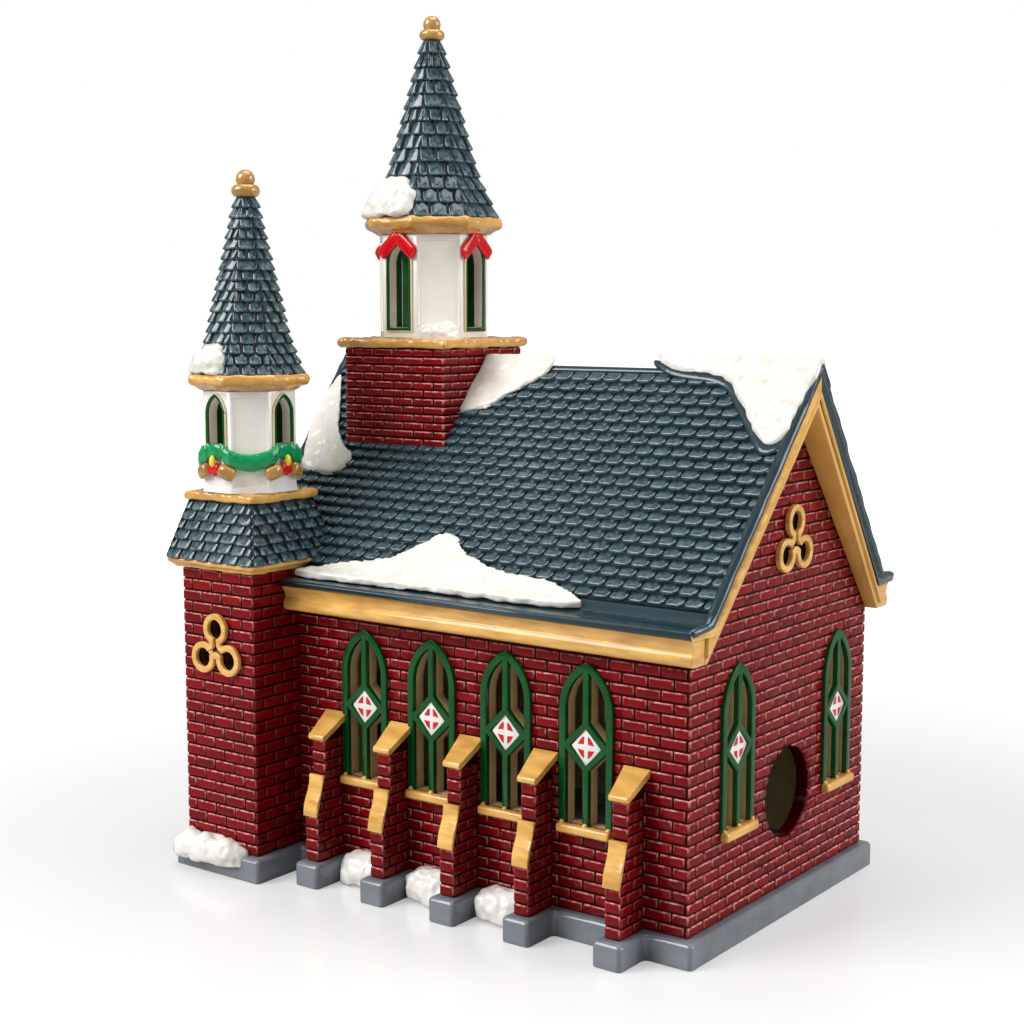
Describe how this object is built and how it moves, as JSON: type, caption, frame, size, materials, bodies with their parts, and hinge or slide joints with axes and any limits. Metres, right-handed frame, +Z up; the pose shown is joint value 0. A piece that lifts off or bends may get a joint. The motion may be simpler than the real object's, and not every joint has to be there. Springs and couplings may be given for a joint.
{
  "type": "ceramic christmas village house",
  "caption": "Glazed ceramic village church with a brick nave, corner tower, ridge steeple and a round lamp hole in its rear gable.",
  "frame": {"origin": "middle of the nave's base, on the table", "axes": "+Z up; +X out of the rear gable with the lamp hole; -Y out of the windowed side beside the tower"},
  "size_m": [0.1812, 0.1425, 0.2588],
  "materials": {
    "grey_glaze": "gloss",
    "brick_glaze": "gloss",
    "slate_glaze": "gloss",
    "gold_glaze": "gloss",
    "green_glaze": "gloss",
    "white_glaze": "gloss",
    "emerald_glaze": "gloss",
    "red_glaze": "gloss",
    "yellow_glaze": "gloss"
  },
  "bodies": {
    "root": {"plinth": "grey_glaze", "near_side_wall": "brick_glaze", "far_side_wall": "brick_glaze", "rear_gable_wall": "brick_glaze", "front_gable_wall": "brick_glaze", "near_roof_slope": "slate_glaze", "far_roof_slope": "slate_glaze", "near_eave_fascia": "gold_glaze", "far_eave_fascia": "gold_glaze", "rear_rake_trim": "gold_glaze", "front_rake_trim": "gold_glaze", "near_buttress_1": "brick_glaze", "near_buttress_2": "brick_glaze", "near_buttress_3": "brick_glaze", "near_buttress_4": "brick_glaze", "near_buttress_5": "brick_glaze", "far_buttresses": "brick_glaze", "near_buttress_caps": "gold_glaze", "far_buttress_caps": "gold_glaze", "near_window_1": "green_glaze", "near_window_2": "green_glaze", "near_window_3": "green_glaze", "near_window_4": "green_glaze", "far_windows": "green_glaze", "rear_window_near": "green_glaze", "rear_window_far": "green_glaze", "window_medallions": "white_glaze", "window_sills": "gold_glaze", "gable_trefoils": "gold_glaze", "door_surround": "gold_glaze", "door_leaves": "green_glaze", "tower_shaft": "brick_glaze", "tower_trefoils": "gold_glaze", "tower_cornice": "gold_glaze", "tower_skirt_roof": "slate_glaze", "tower_cap_slab": "gold_glaze", "turret_drum": "white_glaze", "turret_lancet_frames": "green_glaze", "turret_cornice": "gold_glaze", "turret_spire": "slate_glaze", "turret_finial": "gold_glaze", "turret_garland": "emerald_glaze", "turret_flowers": "red_glaze", "turret_buds": "yellow_glaze", "turret_bells": "gold_glaze", "steeple_base": "brick_glaze", "steeple_cap_slab": "gold_glaze", "belfry_drum": "white_glaze", "belfry_lancet_frames": "green_glaze", "belfry_cornice": "gold_glaze", "belfry_spire": "slate_glaze", "belfry_finial": "gold_glaze", "belfry_bows": "red_glaze", "eave_snow": "white_glaze", "rear_ridge_snow": "white_glaze", "steeple_snow": "white_glaze", "front_rake_snow": "white_glaze", "plinth_snow": "white_glaze", "spire_snow": "white_glaze"}
  },
  "joints": []
}
